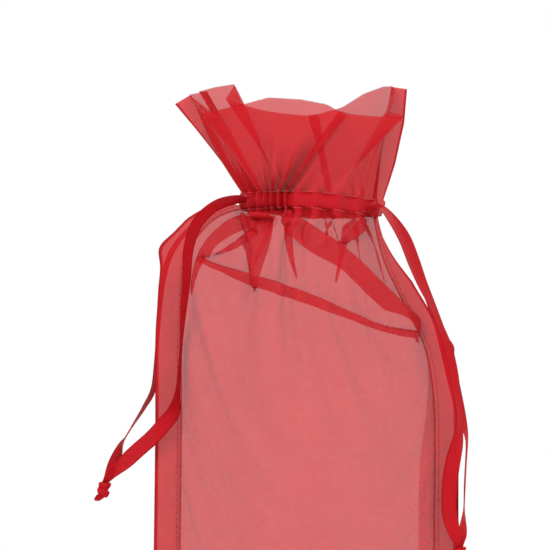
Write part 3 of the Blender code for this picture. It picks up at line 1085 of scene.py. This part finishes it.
@dataclass
class FabricHalf:
    """The fabric pieces of one half of the bag: the wall, the channel and the doubled ruffle."""

    cloth: BagCloth
    facing: Facing
    finishes: dict[str, bpy.types.Material]

    def wall(self) -> bpy.types.Object:
        """The single layer from the base up to the middle of the channel.

        Returns:
            The piece.
        """
        top = self.cloth.channel_row + 5
        columns = self.cloth.half(self.facing)
        points = self.cloth.places[:top][:, columns]
        uv = np.stack(np.meshgrid(self.cloth.half_u(self.facing), self.cloth.v[:top]), axis=-1)
        faces = grid_faces(top, len(columns))
        piece = mesh_piece(f"{self.facing.word}_wall_cloth", points, faces, uv, self.finishes["wall"])
        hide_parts(f"{self.facing.word}_panel")
        blend_at_shoulder(piece)
        return piece

    def ruffle(self) -> bpy.types.Object:
        """The doubled cloth above the channel: up the outside, over the fold of the rim and down the inside.

        Returns:
            The piece.
        """
        cloth = self.cloth
        columns = cloth.half(self.facing)
        rows = np.arange(cloth.header_row, cloth.rows)
        outer = cloth.places[rows][:, columns]
        normal = cloth.normals()[rows][:, columns]
        share = (cloth.v[rows] - cloth.v[rows[0]]) / cloth.header
        apart = (0.9 * MM * np.sin(np.pi * np.clip(share, 0.0, 1.0)) ** 0.5 + 0.25 * MM * (1 - share))[:, None, None]
        sway = 1.0 + 0.5 * np.sin(cloth.half_u(self.facing) * 210.0)[None, :, None]
        inner = outer - normal * apart * sway
        rim = (outer[-1:] + inner[-1:]) / 2 + np.array([0, 0, 0.0003])
        points = np.concatenate([outer, rim, inner[::-1]])
        v = np.concatenate([cloth.v[rows], [cloth.v[-1] + 0.0003], 2 * cloth.v[-1] + 0.0006 - cloth.v[rows][::-1]])
        uv = np.stack(np.meshgrid(cloth.half_u(self.facing), v), axis=-1)
        faces = grid_faces(len(points), len(columns))
        piece = mesh_piece(f"{self.facing.word}_ruffle_cloth", points, faces, uv, self.finishes["ruffle"])
        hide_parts(f"{self.facing.word}_header")
        blend_at_neck(piece)
        return piece

    def sleeve(self) -> bpy.types.Object:
        """The channel: an outer and an inner layer that part round the ribbons and meet at the two stitch lines.

        At share s of the channel's height each layer stands sin(pi s)^0.5 of the way from the zigzag of the
        gathers to its own side of the ribbons.

        Returns:
            The piece.
        """
        cloth = self.cloth
        columns = cloth.half(self.facing)
        ring, out = cloth.neck_ring(cloth.neck_turn(cloth.u))
        stand, depth = cloth.pleats(cloth.u)
        ring, out, stand, depth = ring[columns], out[columns], stand[columns], depth[columns]
        share = np.linspace(0, 1, 7)
        loop = []
        for side, shares in ((1, share), (-1, share[::-1][1:-1])):
            part = (np.sin(math.pi * shares) ** 0.5)[:, None]
            away = side * (0.9 * MM + 0.5 * (depth + side * stand))[None]
            off = (1 - part) * stand[None] + part * away
            lift = (shares[:, None] - 0.5) * cloth.channel
            ripple = 0.35 * MM * np.sin(cloth.half_u(self.facing) * 500)[None]
            points = ring[None] + off[..., None] * out[None]
            points[..., 2] += lift + ripple
            loop.append(points)
        points = np.concatenate(loop)
        v = np.concatenate([share, 2 - share[::-1][1:-1]]) * cloth.channel + cloth.wall
        uv = np.stack(np.meshgrid(cloth.half_u(self.facing), v), axis=-1)
        faces = grid_faces(len(points), len(columns), closed_rows=True)
        piece = mesh_piece(f"{self.facing.word}_channel_cloth", points, faces, uv, self.finishes["channel"])
        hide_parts(f"{self.facing.word}_channel")
        blend_at_neck(piece)
        return piece

    def stitch_row(self, level: str, share: float) -> bpy.types.Object:
        """A row of lockstitches round the channel: a thread that dips into the cloth every 2.6 mm.

        Args:
            level: Lower or upper, as the node spells it.
            share: Its share of the channel's height.

        Returns:
            The piece.
        """
        cloth = self.cloth
        columns = cloth.half(self.facing)
        ring, out = cloth.neck_ring(cloth.neck_turn(cloth.u))
        stand, _ = cloth.pleats(cloth.u)
        line = (ring + (stand + 0.25 * MM)[:, None] * out)[columns]
        line[:, 2] += (share - 0.5) * cloth.channel
        count = 4 * len(columns)
        fine = smooth_curve(np.hstack([line, out[columns]]), count)
        run = np.linspace(0, cloth.panel, count)
        dip = 0.30 * MM * np.sin(2 * math.pi * run / STITCH_PITCH)
        points, faces, uv = tube(fine[:, :3] + dip[:, None] * fine[:, 3:], THREAD_RADIUS, 5)
        name = f"{self.facing.word}_channel_{level}_stitches"
        piece = mesh_piece(name, points, faces, uv, self.finishes["thread"])
        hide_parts(f"{self.facing.word}_channel_{level}_stitching")
        blend_at_neck(piece)
        return piece

    def ribbon_run(self, side: Side) -> bpy.types.Object:
        """One ribbon inside this half of the channel.

        Args:
            side: The ribbon's side.

        Returns:
            The piece.
        """
        cloth = self.cloth
        turn = np.linspace(0.0, 1.0, 90) + (0.0 if self.facing is Facing.FRONT else 1.0)
        ring, out = cloth.neck_ring(turn)
        lane = (0.28 if side is Side.LEFT else -0.28) * MM
        lane = lane + 0.18 * MM * np.sin(turn * 31 + side.value)
        path = ring + lane[:, None] * out
        tilt = 0.10 * np.sin(turn * 19 + side.value)
        across = unit(np.array([0, 0, 1.0])[None] + tilt[:, None] * out)
        points, faces, uv = ribbon_strip(path, across, RIBBON_WIDTH * 0.97, 0.22 * MM)
        name = f"{side.word}_ribbon_in_{self.facing.word}_channel"
        piece = mesh_piece(name, points, faces, uv, self.finishes["ribbon"])
        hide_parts(f"{side.word}_ribbon_{self.facing.word}_run")
        blend_at_neck(piece)
        return piece

    def build(self) -> list[bpy.types.Object]:
        """All the pieces of this half.

        Returns:
            The pieces, from the wall to the ribbons.
        """
        wall = self.wall()
        ruffle = self.ruffle()
        made = [wall, ruffle, self.sleeve()]
        made += [self.stitch_row("lower", 0.04), self.stitch_row("upper", 0.96)]
        made += [self.ribbon_run(Side.LEFT), self.ribbon_run(Side.RIGHT)]
        return made


# ---------------------------------------------------------------------------------------------------------
# Seams and base


@dataclass
class SideSeam:
    """The French seam up one side: a flat doubled strip outside the seam line, and the stitches on that line."""

    cloth: BagCloth
    side: Side
    finishes: dict[str, bpy.types.Material]
    width: float = 10 * MM

    def widths(self) -> np.ndarray:
        """The strip's width at each row: 10 mm up the side, drawn in at the neck, 8 mm at the rim.

        Just below the shoulder the strip's corner stands out by another 2 mm.

        Returns:
            Metres, one for each row.
        """
        v = self.cloth.v / MM
        corner = 233.0 if self.side is Side.LEFT else 203.0
        marks = (0, 205, 232, 244, 254, 262, 271, 285, 300, 316)
        sizes = (10, 10, 9.5, 7.5, 4.5, 1.8, 1.6, 2.4, 4.6, 7.4)
        if self.side is Side.RIGHT:
            marks = (0, 120, 205, 232, 244, 254, 262, 267, 285, 300, 316)
            sizes = (10, 9.2, 8.6, 6.5, 4.0, 1.8, 1.4, 3.4, 6.2, 7.0, 5.5)
        width = np.interp(v, marks, sizes) + 2.2 * np.exp(-(((v - corner) / 4.0) ** 2))
        return width * MM

    def allowance(self) -> np.ndarray:
        """How far the strip goes on inside the seam's line at each row: 6.5 mm low on the right, and hardly else.

        Returns:
            Metres, one for each row.
        """
        if self.side is Side.LEFT:
            return np.full(len(self.cloth.v), 0.5 * MM)
        v = self.cloth.v / MM
        return (0.5 + 6.0 * smoothstep((v - 8) / 30) * (1 - smoothstep((v - 150) / 60))) * MM

    def line(self) -> tuple[np.ndarray, np.ndarray]:
        """The seam's line from base to rim, and the outward direction square to it in the seams' plane.

        Returns:
            Places, (rows, 3), and directions, (rows, 3).
        """
        column = 0 if self.side is Side.LEFT else self.cloth.half_columns
        line = self.cloth.places[:, column]
        ahead = unit(np.gradient(line, axis=0))
        soft = np.ones(17) / 17
        ahead = np.stack([np.convolve(np.pad(ahead[:, k], 8, "edge"), soft, "valid") for k in range(3)], -1)
        out = np.stack([ahead[:, 2], 0 * ahead[:, 0], -ahead[:, 0]], axis=-1) * self.side.value
        return line, unit(out)

    def strip(self) -> bpy.types.Object:
        """The strip itself, closed, with its free edge tucked in once and a slow waviness.

        section goes round it: a share of the width, and a height off the strip's middle in millimetres.

        Returns:
            The piece.
        """
        line, out = self.line()
        width = self.widths()
        v = self.cloth.v
        section = np.array(
            (
                (0, 0.20), (0.3, 0.34), (0.6, 0.36), (0.86, 0.36), (1.0, 0.22), (0.87, 0.10), (0.99, -0.12),
                (0.86, -0.30), (0.6, -0.36), (0.3, -0.34), (0, -0.20),
            )
        )  # fmt: skip
        across = section[None, :, :1]
        thick = section[None, :, 1:] * MM
        wave = (0.9 * MM * np.sin(v * 71) + 0.5 * MM * np.sin(v * 173 + 1))[:, None, None]
        sideways = np.array([0.0, self.side.value, 0.0])
        bend = wave * across**2
        inner = self.allowance()[:, None, None]
        reach = across * (width[:, None, None] + inner) - inner
        points = line[:, None] + reach * out[:, None] + (thick + bend) * sideways
        points[..., 2] = np.maximum(points[..., 2], 0.0)
        uv = np.stack(np.broadcast_arrays(reach[..., 0], v[:, None]), axis=-1)
        faces = grid_faces(len(line), len(section), closed_columns=True)
        piece = mesh_piece(f"{self.side.word}_seam_strip", points, faces, uv, self.finishes["seam"])
        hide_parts(f"{self.side.word}_side_seam")
        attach(piece, "bag")
        return piece

    def stitches(self) -> bpy.types.Object:
        """The row of stitches up the seam, just outside its line.

        Returns:
            The piece.
        """
        line, out = self.line()
        keep = self.cloth.channel_row - 4
        path = line[:keep] + out[:keep] * np.minimum(1.2 * MM, self.widths()[:keep, None] / 2)
        count = 5 * keep
        fine = smooth_curve(path, count)
        run = run_along(fine)
        fine[:, 1] += -0.25 * MM + 0.42 * MM * np.sin(2 * math.pi * run / STITCH_PITCH)
        points, faces, uv = tube(fine, THREAD_RADIUS, 5)
        piece = mesh_piece(f"{self.side.word}_seam_stitches", points, faces, uv, self.finishes["thread"])
        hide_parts(f"{self.side.word}_seam_stitching")
        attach(piece, "bag")
        return piece

    def build(self) -> list[bpy.types.Object]:
        """The strip and its stitches."""
        return [self.strip(), self.stitches()]


@dataclass
class FoldedBase:
    """The cloth folded under: two layers of a pointed oval, with the fold of the bag's bottom edge across it."""

    cloth: BagCloth
    finishes: dict[str, bpy.types.Material]
    rows: int = 33

    def build(self) -> bpy.types.Object:
        """The base, as a grid from the front edge to the back edge at each place across.

        A point is the front edge's times (1 - t) plus the back edge's times t. z is a soft wrinkle above the floor.

        Returns:
            The piece.
        """
        front = self.cloth.places[0][self.cloth.half(Facing.FRONT)]
        back = self.cloth.places[0][self.cloth.half(Facing.BACK)][::-1]
        t = np.linspace(0, 1, self.rows)[:, None, None]
        points = front[None] * (1 - t) + back[None] * t
        x, y = points[..., 0], points[..., 1]
        wrinkle = 0.35 * MM * (1 + np.sin(x * 160 + 40 * y) * np.cos(y * 120 + 9))
        fold = 0.7 * MM * np.exp(-((y / (1.2 * MM)) ** 2))
        rim = np.minimum(np.minimum(t[..., 0], 1 - t[..., 0]) * 12, 1.0)
        points[..., 2] = (wrinkle + fold) * rim + 0.1 * MM
        uv = points[..., :2] + 0.5
        piece = mesh_piece("base_cloth", points, grid_faces(self.rows, points.shape[1]), uv, self.finishes["wall"])
        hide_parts("bottom_panel")
        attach(piece, "bag")
        return piece


# ---------------------------------------------------------------------------------------------------------
# Drawstrings

# The free ends' routes, neck to knot: x, y and z in millimetres, and the ribbon's turn in degrees.
LEFT_FRONT_STRAND = (
    (-28.5, -6, 257.5, 60), (-36.5, -10, 254.5, 50), (-43.5, -11.5, 247.5, 44), (-47, -10.5, 237.5, 52),
    (-47.8, -9.5, 225.5, 60), (-49, -8, 214, 64), (-49.8, -7.5, 202, 75), (-50.5, -7, 190.5, 80),
    (-51.3, -6.6, 181.2, 76), (-52.8, -6.2, 174, 34), (-56.3, -5.6, 169.2, 0), (-61, -4.8, 164, 0),
    (-66.8, -4, 158.9, 0), (-71.8, -3.2, 154.3, 4), (-76.2, -2.4, 150.2, 10),
)  # fmt: skip
LEFT_BACK_STRAND = (
    (-28.5, 6, 258, 80), (-38.5, 8.5, 254, 82), (-48, 9.5, 246.8, 78), (-54.8, 9, 237, 75), (-58, 8, 224, 74),
    (-59.4, 7.2, 207, 74), (-60.2, 6.5, 193.5, 74), (-61.2, 5.8, 183.5, 76), (-64.7, 5, 176.5, 82),
    (-69, 3.6, 169.4, 86), (-72.1, 1.6, 163.8, 86), (-74, -1, 159.4, 62), (-76.4, -3.8, 153.6, 48),
    (-78.2, -3.4, 149.2, 40),
)  # fmt: skip
RIGHT_FRONT_STRAND = (
    (28.5, -6, 254, 60), (32.5, -11.5, 248, 60), (36.5, -13.5, 240, 65), (40, -13, 231, 65),
    (44, -11.5, 222.5, 60), (48, -10, 215, 60), (51.5, -8.5, 207, 60), (54.5, -7.5, 198.5, 55),
    (56.7, -6.8, 188.5, 55), (58.2, -6.2, 178, 60), (58.8, -6, 170, 60), (58, -6, 162.5, 35),
    (56.2, -6, 154, 10), (55, -6, 145, 0), (54.8, -6, 136, 0), (56.2, -6.6, 128.5, 5), (57.6, -6.2, 124, 0),
)  # fmt: skip
RIGHT_BACK_STRAND = (
    (28.5, 6, 255.5, 60), (33.5, 8.5, 251.5, 55), (38.5, 9.8, 244.5, 50), (42, 10, 236, 50),
    (45.2, 9.8, 226.8, 50), (48.5, 9, 217.8, 48), (51.8, 8.2, 208, 46), (54.7, 7.6, 197.5, 44),
    (57.3, 7, 186.2, 42), (59.4, 6.4, 176.5, 42), (61, 5.8, 169.5, 52), (62.2, 4.8, 163.2, 74),
    (61.8, 3.6, 154.5, 84), (61.2, 1.6, 146, 85), (60.8, -0.8, 137, 85), (60.2, -2.8, 129, 50),
    (59.4, -3.6, 124, 5),
)  # fmt: skip


def ribbon_strip(
    path: np.ndarray, across: np.ndarray, width: float | np.ndarray, thickness: float, cup: float = 0.0
) -> tuple[np.ndarray, np.ndarray, np.ndarray]:
    """A flat ribbon along a path: at each point a thin closed oval, width wide and thickness thick.

    Args:
        path: Points, (n, 3).
        across: The direction of the ribbon's width at each point, (n, 3).
        width: Edge to edge, one number or one for each point.
        thickness: Through the ribbon at its middle.
        cup: How far the edges stand out of flat.

    Returns:
        Points, quads and uv, with x across the ribbon and y along it.
    """
    ahead = unit(np.gradient(path, axis=0))
    across = unit(across - np.einsum("ij,ij->i", across, ahead)[:, None] * ahead)
    face = np.cross(ahead, across)
    angle = np.linspace(0, 2 * math.pi, 12, endpoint=False)
    over, thick = (np.sign(wave) * np.abs(wave) ** 0.6 for wave in (np.cos(angle), np.sin(angle)))
    half = np.broadcast_to(np.asarray(width, float) / 2, (len(path),))[:, None]
    points = (
        path[:, None]
        + (over[None] * half)[..., None] * across[:, None]
        + (thick[None] * thickness / 2 + cup * over[None] ** 2)[..., None] * face[:, None]
    )
    run = run_along(path)
    uv = np.stack(np.broadcast_arrays(over[None] * half, run[:, None]), axis=-1)
    return points, grid_faces(len(path), len(angle), closed_columns=True), uv


@dataclass
class DrawstringTail:
    """The two free strands of one drawstring, and the knot that ties them."""

    side: Side
    front_route: Sequence[tuple[float, float, float, float]]
    back_route: Sequence[tuple[float, float, float, float]]
    knot_middle: tuple[float, float, float]
    knot_lean: float
    exit_height: float
    finishes: dict[str, bpy.types.Material]
    travel: float = 49 * MM
    start: float = 22.5 * MM
    start_turn: float = 75

    def strand(self, facing: Facing, route: Sequence[tuple[float, float, float, float]]) -> object:
        """One strand, with a little wander in its twist and soft cupping.

        Args:
            facing: The half of the channel that it comes out of.
            route: Places and turns from the neck to the knot.

        Returns:
            The strand's piece.
        """
        route = np.array(route, float) * (MM, MM, MM, 1)
        inside = (self.side.value * self.start, route[0, 1] * 0.35, route[0, 2], self.start_turn)
        middle = (*self.knot_middle[:2], self.knot_middle[2] + 2.2 * MM, route[-1, 3])
        path = smooth_curve(np.vstack([inside, route, middle]), 160)
        places, turns = path[:, :3], np.radians(path[:, 3])
        share = np.linspace(0, 1, len(places))
        turns = turns + np.radians(5) * np.sin(share * 21 + self.side.value) * np.sin(math.pi * share)
        ahead = unit(np.gradient(places, axis=0))
        flat = unit(np.cross(ahead, np.array([0.0, 1.0, 0.0])))
        deep = np.cross(flat, ahead)
        across = flat * np.cos(turns)[:, None] + deep * np.sin(turns)[:, None]
        drawn_in = 1 - 0.15 * (1 - smoothstep(share / 0.10)) - 0.62 * smoothstep((share - 0.84) / 0.16)
        points, faces, uv = ribbon_strip(places, across, RIBBON_WIDTH * drawn_in, RIBBON_THICKNESS, cup=0.25 * MM)
        name = f"{self.side.word}_drawstring_{facing.word}_strand"
        piece = mesh_piece(name, points, faces, uv, self.finishes["ribbon"])
        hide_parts(f"{self.side.word}_ribbon_{facing.word}_strand")
        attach(piece, f"{self.side.word}_tail")
        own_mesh(piece)
        return piece

    def knot(self) -> bpy.types.Object:
        """The overhand knot: a bead with wound folds, two bands round it, and the short cut ends below.

        The bead's radius is sin(pi s)^0.55 down its length s, times ridges that wind twice round it.

        Returns:
            The piece.
        """
        lean = math.radians(self.knot_lean)
        turn = np.array([[math.cos(lean), 0, math.sin(lean)], [0, 1, 0], [-math.sin(lean), 0, math.cos(lean)]])
        parts: list[tuple[np.ndarray, np.ndarray, np.ndarray]] = []

        s = np.linspace(0.0, 1.0, 26)[:, None]
        angle = np.linspace(0, 2 * math.pi, 28, endpoint=False)[None]
        ridges = 1 + 0.10 * np.sin(2 * angle + 9 * s) + 0.05 * np.sin(5 * angle - 14 * s)
        radius = (1.9 * MM) * np.sin(math.pi * np.clip(s, 0.004, 0.996)) ** 0.55 * ridges
        bead = np.stack(
            np.broadcast_arrays(radius * np.cos(angle), 0.85 * radius * np.sin(angle), (0.5 - s) * 6.6 * MM), axis=-1
        )
        uv = np.stack(np.broadcast_arrays((angle / math.pi - 1) * RIBBON_WIDTH / 2, s * 0.008), axis=-1)
        parts.append((bead, grid_faces(26, 28, closed_columns=True)[:, ::-1], uv))

        around = np.linspace(0, 2 * math.pi, 48, endpoint=False)
        for tilt, lift, size in ((0.16, 1.35 * MM, 1.75 * MM), (-0.20, -1.35 * MM, 1.85 * MM)):
            path = np.stack(
                [size * np.cos(around), 0.88 * size * np.sin(around), lift + tilt * size * np.cos(around)], axis=-1
            )
            band_out = unit(path * np.array([1, 1, 0]))
            across = unit(np.array([0, 0, 1.0]) + 0.25 * band_out)
            cross = np.linspace(0, 2 * math.pi, 10, endpoint=False)
            points = (
                path[:, None]
                + (np.cos(cross)[None] * 1.45 * MM)[..., None] * across[:, None]
                + (np.sin(cross)[None] * 0.62 * MM)[..., None] * band_out[:, None]
            )
            uv = np.stack(np.broadcast_arrays(np.cos(cross)[None] * 2.5 * MM, around[:, None] * size), axis=-1)
            parts.append((points, grid_faces(48, 10, closed_rows=True, closed_columns=True), uv))

        for k, (fan, depth, size) in enumerate(((-0.9, -0.4, 3.0), (-0.35, 0.5, 2.4))):
            run = np.linspace(0, 1, 9)
            drop = 2.2 + size * run * math.sqrt(1 - (fan * 0.6) ** 2)
            path = np.stack([fan * size * run**1.2, depth * (0.4 + run), -drop], axis=-1) * MM
            across = np.stack([np.cos(0.5 * k + run), np.sin(0.5 * k + run) * 0.6, 0.35 * run], axis=-1)
            width = (2.0 + 1.6 * run) * MM
            points, faces, uv = ribbon_strip(path, across, width, RIBBON_THICKNESS)
            parts.append((points, faces, uv))

        points, faces, uvs, first = [], [], [], 0
        for place, quads, coords in parts:
            flat = place.reshape(-1, 3) @ turn.T + np.array(self.knot_middle)
            points.append(flat)
            faces.append(quads + first)
            uvs.append(coords.reshape(-1, 2))
            first += len(flat)
        whole = [np.concatenate(part) for part in (points, faces, uvs)]
        piece = mesh_piece(f"{self.side.word}_drawstring_knot", *whole, self.finishes["ribbon"])
        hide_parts(f"{self.side.word}_knot")
        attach(piece, f"{self.side.word}_knot_body")
        return piece

    def build(self) -> list[bpy.types.Object]:
        """Knot first, then the two strands that it is on.

        Returns:
            The knot and the strands.
        """
        knot = self.knot()
        front = self.strand(Facing.FRONT, self.front_route)
        back = self.strand(Facing.BACK, self.back_route)
        return [knot, front, back]


# ---------------------------------------------------------------------------------------------------------
# Studio


@dataclass(frozen=True)
class Studio:
    """The pale floor, the soft lights and the camera."""

    aim: tuple[float, float, float] = (-0.013, 0.0, 0.2282)
    distance: float = 1.30
    camera_height: float = 0.108
    field_width: float = 0.2165

    def floor(self) -> None:
        """A wide pale floor."""
        mesh = bpy.data.meshes.new("studio_floor")
        reach, drop = 20.0, -0.2 * MM
        corners = [(-reach, -reach, drop), (reach, -reach, drop), (reach, reach, drop), (-reach, reach, drop)]
        mesh.from_pydata(corners, [], [(0, 1, 2, 3)])
        made = bpy.data.objects.new("studio_floor", mesh)
        bpy.context.scene.collection.objects.link(made)
        material = bpy.data.materials.new("pale_floor")
        material.use_nodes = True
        shader = material.node_tree.nodes["Principled BSDF"]
        set_inputs(shader, {"Base Color": (0.9, 0.9, 0.9, 1.0), "Roughness": 0.7, "Specular IOR Level": 0.2})
        mesh.materials.append(material)

    def light(self, name: str, place: tuple, aim: tuple, size: float, watts: float) -> None:
        """One square soft light at a place, turned to its aim.

        Args:
            name: The lamp's name.
            place: Where it stands.
            aim: Where it points.
            size: Its edge in metres.
            watts: Its power.
        """
        data = bpy.data.lights.new(name, "AREA")
        data.shape = "SQUARE"
        data.size = size
        data.energy = watts
        lamp = bpy.data.objects.new(name, data)
        lamp.location = place
        self.turn_to(lamp, aim)
        bpy.context.scene.collection.objects.link(lamp)

    @staticmethod
    def turn_to(thing: bpy.types.Object, aim: Sequence[float]) -> None:
        """Turn an object so that its -Z looks at a point, upright."""
        thing.rotation_euler = (Vector(aim) - thing.location).to_track_quat("-Z", "Y").to_euler()

    def build(self) -> None:
        """Floor, lights, surroundings and camera."""
        scene = bpy.context.scene
        self.floor()
        self.light("key_light", (-0.9, -1.3, 1.2), (0, 0, 0.20), 0.7, 16)
        self.light("fill_light", (1.3, -1.0, 0.7), (0, 0, 0.20), 0.9, 9)
        self.light("back_light", (0.4, 1.4, 1.0), (0, 0, 0.22), 0.9, 12)
        world = bpy.data.worlds.new("pale_surroundings")
        world.use_nodes = True
        background = world.node_tree.nodes["Background"]
        background.inputs[0].default_value = (1.0, 1.0, 1.0, 1.0)
        background.inputs[1].default_value = 1.0
        scene.world = world
        scene.view_settings.view_transform = "Standard"

        data = bpy.data.cameras.new("camera")
        camera = bpy.data.objects.new("camera", data)
        camera.location = (self.aim[0], -self.distance, self.camera_height)
        self.turn_to(camera, self.aim)
        data.sensor_width = 36.0
        data.lens = 36.0 * math.hypot(self.distance, self.aim[2] - self.camera_height) / self.field_width
        data.clip_start = 0.01
        data.clip_end = 100.0
        scene.collection.objects.link(camera)
        scene.camera = camera


def build_finishes() -> dict[str, bpy.types.Material]:
    """Every material of the bag, by the part that it dresses."""
    return {
        "wall": OrganzaFinish("organza_wall").build(),
        # The ruffle's and the seam's organza are brighter red copies of the wall's: painted light that stands in for
        # the light scattering red through their stacked layers.
        "ruffle": OrganzaFinish("organza_ruffle", (0.60, 0.007, 0.013), alpha=0.60, band_depth=0.008).build(),
        "channel": OrganzaFinish("organza_channel", alpha=0.70, band_depth=0.0).build(),
        "seam": OrganzaFinish(
            "organza_seam", (0.56, 0.008, 0.014), alpha=0.74, band_depth=0.015, inside=0.34
        ).build(),
        "ribbon": RibbonFinish("satin_ribbon_red", RIBBON_WIDTH).build(),
        "thread": ThreadFinish().build(),
    }


def main() -> None:
    """Build the bag piece by piece and report each one."""
    logging.basicConfig(level=logging.INFO, format="%(name)s: %(message)s")
    Studio().build()
    finishes = build_finishes()

    made: list[bpy.types.Object] = []
    left_knot, right_knot = (-0.0800, 0.0, 0.1440), (0.0590, -0.0042, 0.1186)
    for tail in (
        DrawstringTail(Side.LEFT, LEFT_FRONT_STRAND, LEFT_BACK_STRAND, left_knot, 12, 0.2575, finishes),
        DrawstringTail(Side.RIGHT, RIGHT_FRONT_STRAND, RIGHT_BACK_STRAND, right_knot, 0, 0.2555, finishes),
    ):
        made += tail.build()

    cloth = BagCloth()
    cloth.settle(900)
    for facing in Facing:
        made += FabricHalf(cloth, facing, finishes).build()
    for side in Side:
        made += SideSeam(cloth, side, finishes).build()
    made.append(FoldedBase(cloth, finishes).build())
    for piece in made:
        LOG.info("made %s with %d faces", piece.name, len(piece.data.polygons))


if __name__ == "__main__":
    main()
